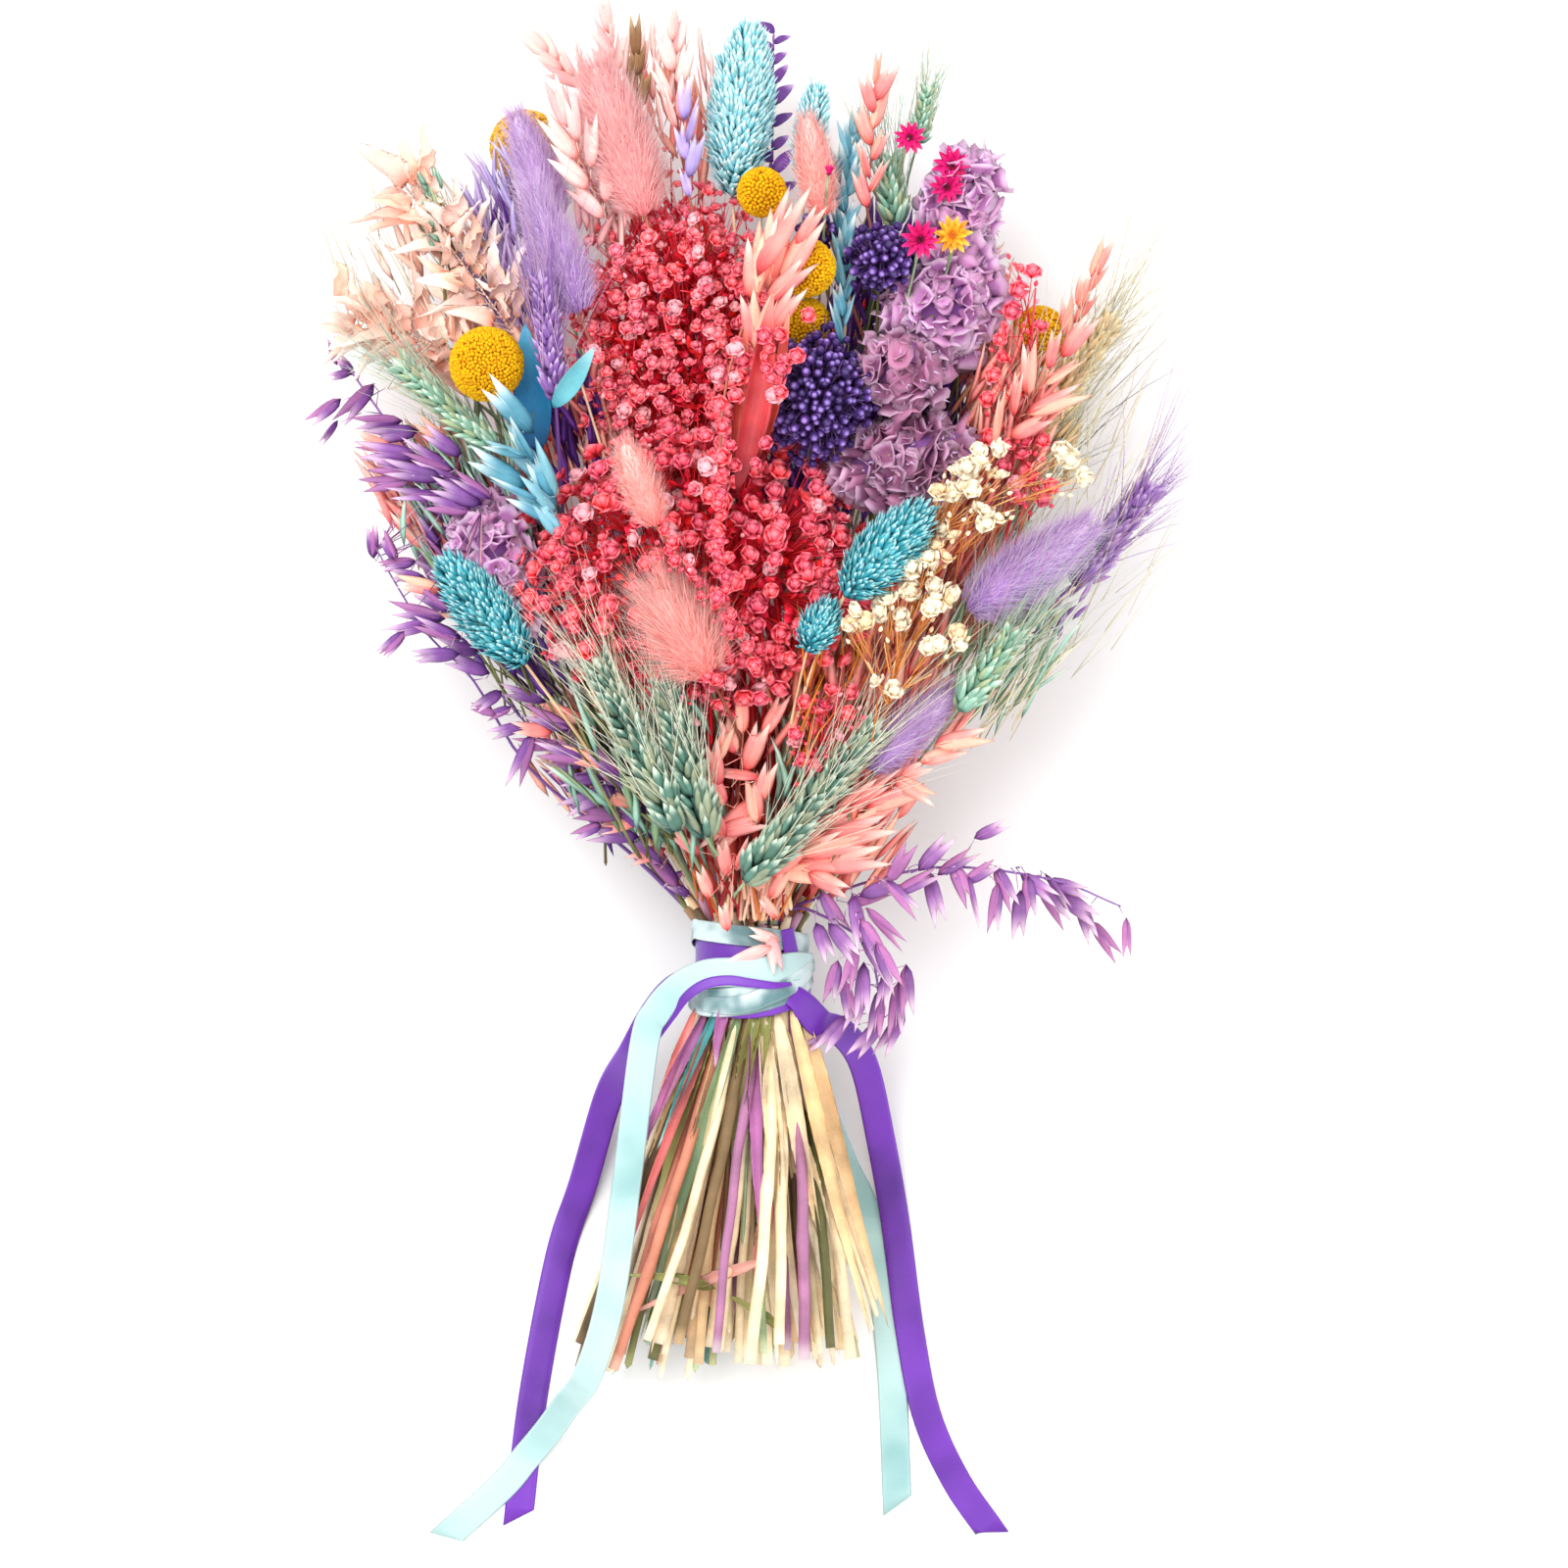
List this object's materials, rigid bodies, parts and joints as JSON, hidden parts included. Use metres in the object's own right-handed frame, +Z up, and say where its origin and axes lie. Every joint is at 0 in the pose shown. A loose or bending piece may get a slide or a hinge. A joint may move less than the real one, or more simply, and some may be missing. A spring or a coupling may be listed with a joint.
{
  "type": "dried flower bouquet",
  "caption": "Hand-tied bouquet of dried and dyed flowers, grasses and grains with satin ribbon tails, lying on its back.",
  "frame": {"origin": "point on the table under the middle of the bouquet's box", "axes": "+Y from the cut stem feet and ribbon tails to the flower heads, +X to the right seen from above, +Z up from the table to the bouquet's front"},
  "size_m": [0.3676, 0.6318, 0.1513],
  "materials": {
    "coral": "dry papery florets dyed coral pink on deep red branchlets",
    "cream": "dry papery florets, natural cream, on orange-brown branchlets",
    "lilac": "soft fibrous grass plume dyed lilac",
    "soft_pink": "soft fibrous grass plume dyed salmon pink",
    "aqua": "overlapping papery scales dyed aqua with near-white edges",
    "yellow": "tightly packed tiny matt yellow florets",
    "indigo": "matt dark indigo berries with a violet bloom",
    "lavender": "thin papery ruffled calyx, lavender over brown-green",
    "peach": "crinkled thin dried leaf, pale peach",
    "mint": "dry satiny grain husks and fine awns dyed mint",
    "purple": "dry fibrous husks dyed purple",
    "oat_pink": "dry fibrous husks dyed coral pink",
    "sky_blue": "dry fibrous husks dyed sky blue",
    "deep_blue": "thin dried leaf dyed deep blue",
    "magenta": "thin dry pointed petals dyed magenta",
    "golden": "thin dry pointed petals, golden orange",
    "beige": "dry satiny grain husks, fine awns and straw stems, natural beige",
    "brown": "dry brown seed head and stems, matt",
    "satin_aqua": "satin ribbon, pale aqua, soft sheen along the weave",
    "satin_purple": "satin ribbon, deep purple, soft sheen along the weave"
  },
  "bodies": {
    "root": {"back_bunny_tail_lilac": "lilac", "back_canary_grass": "aqua", "back_globe_flower": "yellow", "back_statice": "lavender", "back_babys_breath_coral": "coral", "back_pink_oats": "oat_pink", "back_wheat_mint": "mint", "purple_oats_hanging": "purple", "purple_oats_arching": "purple", "pink_oats_lower_right": "oat_pink", "wheat_mint_right": "mint", "pink_oats_lower_middle": "oat_pink", "wheat_mint_middle": "mint", "wheat_mint_left": "mint", "babys_breath_coral_lower": "coral", "bunny_tail_pink_lower": "soft_pink", "canary_grass_centre": "aqua", "bunny_tails_lilac_right": "lilac", "golden_flower": "golden", "babys_breath_cream": "cream", "bunny_tail_pink_centre": "soft_pink", "canary_grass_left": "aqua", "bunny_tail_pink_plume": "soft_pink", "berries_centre": "indigo", "pink_oats_tall": "oat_pink", "babys_breath_coral_upper": "coral", "globe_flowers_middle": "yellow", "wheat_purple_left": "purple", "globe_flower_left": "yellow", "statice_left": "lavender", "statice_lower": "lavender", "deep_blue_leaf": "deep_blue", "statice_right": "lavender", "blue_oats_left": "sky_blue", "bunny_tails_lilac_left": "lilac", "pink_oats_pale": "oat_pink", "pink_oats_top": "oat_pink", "wheat_teal_right": "mint", "babys_breath_pink_right": "coral", "lilac_oat": "lilac", "brown_seed_head": "brown", "globe_flower_upper": "yellow", "canary_grass_top": "aqua", "blue_oats_tall": "sky_blue", "star_flowers_magenta": "magenta", "berries_upper": "indigo", "bunny_tail_pink_right": "soft_pink", "purple_leafy_sprig": "purple", "pink_oats_right": "oat_pink", "globe_flower_right": "yellow", "purple_oats_lower_left": "purple", "wheat_green_upper": "mint", "pink_oats_upper_right": "oat_pink", "rye_beige_right": "beige", "wheat_purple_right": "purple", "purple_oats_left": "purple", "wheat_green_left": "mint", "peach_leaves": "peach", "ribbon_purple": "satin_purple", "ribbon_aqua": "satin_aqua"}
  },
  "joints": []
}
